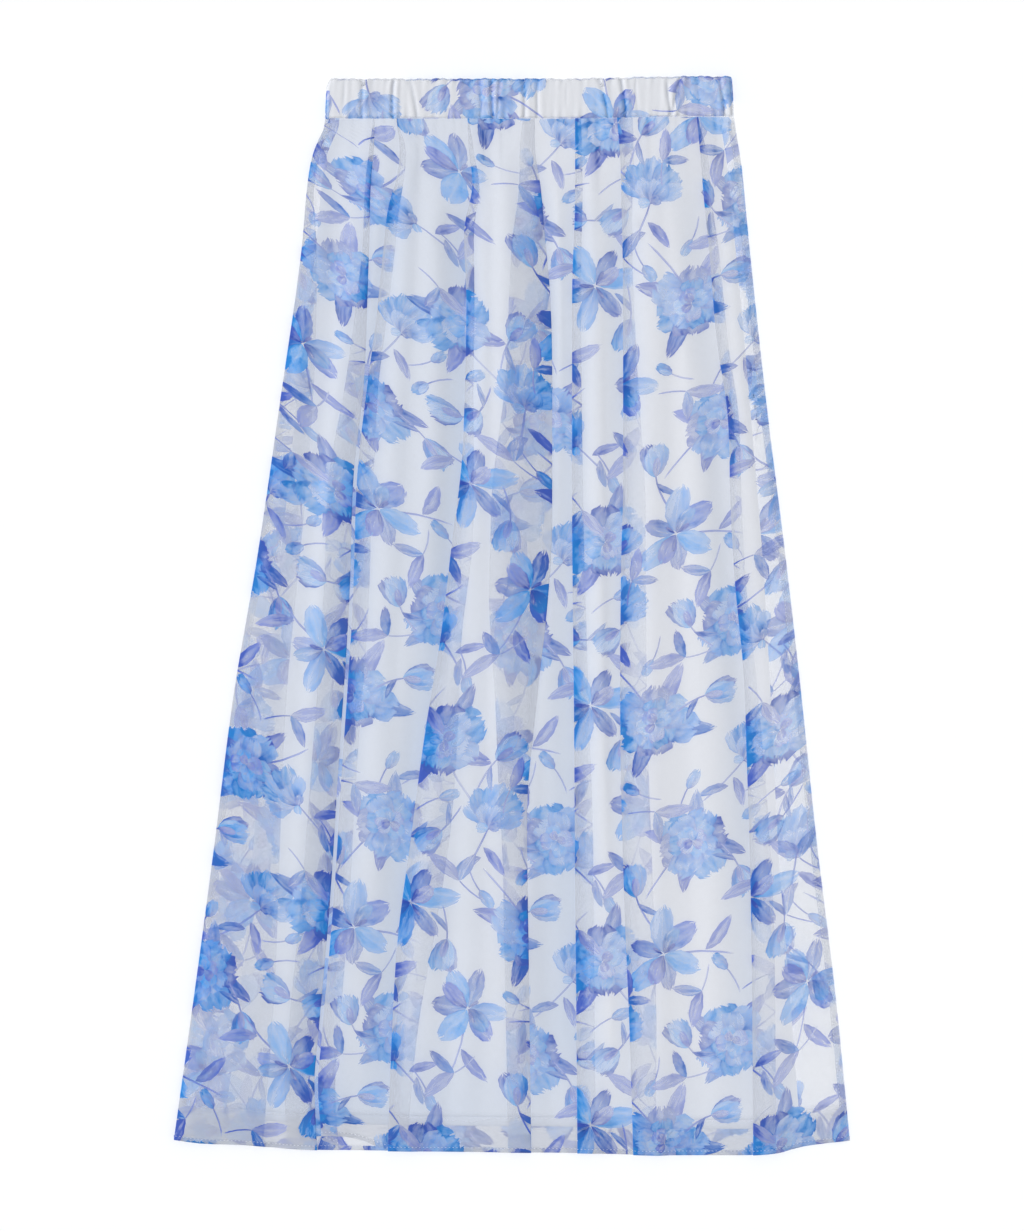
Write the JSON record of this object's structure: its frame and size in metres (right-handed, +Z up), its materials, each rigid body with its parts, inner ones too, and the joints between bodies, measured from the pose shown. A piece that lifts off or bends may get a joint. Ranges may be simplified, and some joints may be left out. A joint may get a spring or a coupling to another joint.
{
  "type": "flared midi skirt",
  "caption": "Flared midi skirt of printed chiffon with a gathered elastic waistband and a shorter lining, laid flat with long loose folds.",
  "frame": {"origin": "on the surface that the skirt lies on, under the middle of its outline", "axes": "+Z up from the surface, +Y from the hem to the waist, +X across the skirt, to the right as the front is seen with the waist up"},
  "size_m": [0.5645, 0.8999, 0.0126],
  "materials": {
    "printed_chiffon": "sheer matt chiffon, white with a blue watercolour print of flowers",
    "lining_cloth": "plain matt white lining"
  },
  "bodies": {
    "root": {"waistband": "printed_chiffon", "skirt_front": "printed_chiffon", "skirt_back": "printed_chiffon", "lining_front": "lining_cloth", "lining_back": "lining_cloth"}
  },
  "joints": []
}
